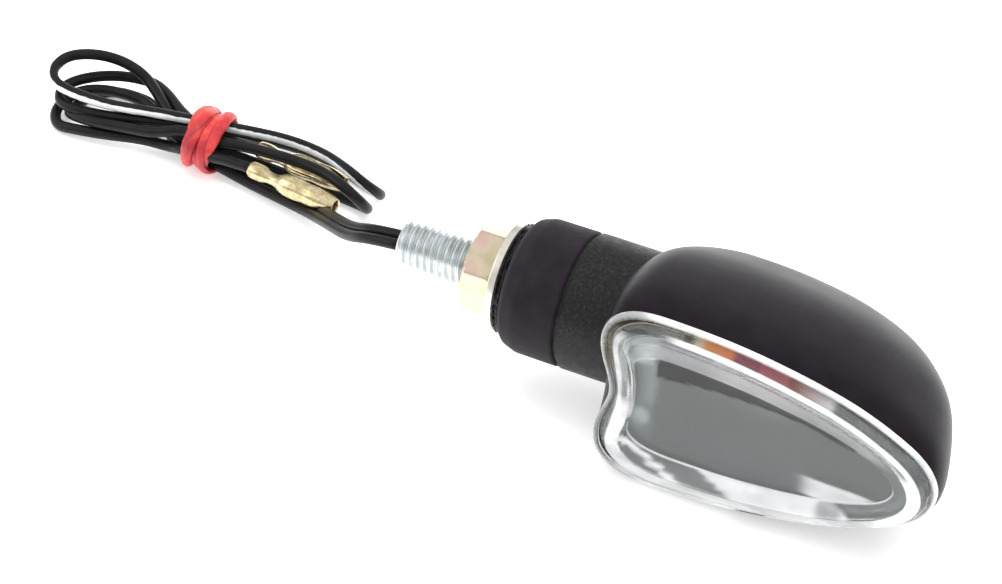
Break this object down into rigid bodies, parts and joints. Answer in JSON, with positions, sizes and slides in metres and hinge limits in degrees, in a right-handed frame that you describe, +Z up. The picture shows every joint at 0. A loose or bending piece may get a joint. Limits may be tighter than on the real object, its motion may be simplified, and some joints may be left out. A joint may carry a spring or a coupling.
{
  "type": "motorcycle turn signal",
  "caption": "Short-stalk motorcycle turn signal: teardrop housing, clear dished lens, amber bayonet bulb, rubber collar, hollow threaded stud with nut and washer, and a tied bundle of leads.",
  "frame": {"origin": "on the stud's axis, at the stalk's end face that seats against the motorcycle's bracket", "axes": "+X along the stalk to the tip of the lamp, -Y the way the lens faces, +Z up across the lamp"},
  "size_m": [0.1798, 0.0552, 0.0354],
  "materials": {
    "zinc_steel": "bright zinc plate",
    "yellow_zinc": "iridescent yellow zinc plate over steel",
    "gloss_black": "glossy black moulding",
    "rubber_black": "matte moulded rubber",
    "stem_black": "fine speckled black moulding with a slight sheen",
    "plain_black": "moulded",
    "housing_black": "matte purple-black moulding with fine grain",
    "clear_lens": "clear moulded polycarbonate",
    "seal_rubber": "soft gasket",
    "reflector_silver": "vacuum metallised",
    "socket_steel": "black oxide on pressed steel",
    "phenolic": "brown phenolic",
    "brass": "turned",
    "spring_steel": "drawn wire",
    "base_nickel": "nickel plate",
    "black_glass": "vitrite",
    "solder": "solder",
    "amber_glass": "amber lacquered glass",
    "tungsten": "drawn tungsten",
    "wire_black": "soft PVC insulation",
    "wire_striped": "soft black PVC insulation with a white stripe",
    "band_red": "translucent red rubber",
    "gold_brass": "gold coloured plate"
  },
  "bodies": {
    "lamp": {"stud": "zinc_steel", "mount_ring": "gloss_black", "collar": "rubber_black", "stem": "stem_black", "stud_retainer": "plain_black", "housing": "housing_black", "lens_seal": "seal_rubber", "reflector": "reflector_silver", "reflector_screws": "zinc_steel", "socket_shell": "socket_steel", "socket_insulator": "phenolic", "socket_spring": "spring_steel", "ground_tab": "brass", "hot_wire": "wire_black", "ground_wire": "wire_black", "lead_striped": "wire_striped", "lead_plain": "wire_black", "wire_hank": "wire_black", "rubber_band": "band_red", "bullet_plain": "gold_brass", "bullet_striped": "gold_brass"},
    "washer": {"washer": "yellow_zinc"},
    "nut": {"nut": "yellow_zinc"},
    "lens": {"lens": "clear_lens"},
    "bulb": {"bulb_base": "base_nickel", "bulb_insulator": "black_glass", "bulb_contact": "solder", "bulb_glass": "amber_glass", "bulb_filament": "tungsten"},
    "plunger": {"contact_plunger": "brass"}
  },
  "joints": [
    {"name": "washer_slide", "type": "slide", "parent": "lamp", "child": "washer", "axis": [-1, 0, 0], "range_m": [0, 0.0125]},
    {"name": "nut_spin", "type": "hinge", "parent": "washer", "child": "nut", "pos_m": [0, 0, 0], "axis": [-1, 0, 0], "range_deg": [0, 3600]},
    {"name": "lens_release", "type": "slide", "parent": "lamp", "child": "lens", "axis": [0, -1, 0], "range_m": [0, 0.03]},
    {"name": "bulb_twist", "type": "hinge", "parent": "lamp", "child": "bulb", "pos_m": [0, 0, 0], "axis": [1, 0, 0], "range_deg": [0, 45]},
    {"name": "contact_press", "type": "slide", "parent": "lamp", "child": "plunger", "axis": [-1, 0, 0], "range_m": [0, 0.0006], "stiffness_N_per_m": 800, "springref_m": -0.001, "deforming": ["socket_spring"]}
  ],
  "couplings": [
    {"joint": "nut_spin", "follows": "washer_slide", "rad_per_m": 5026.5}
  ]
}
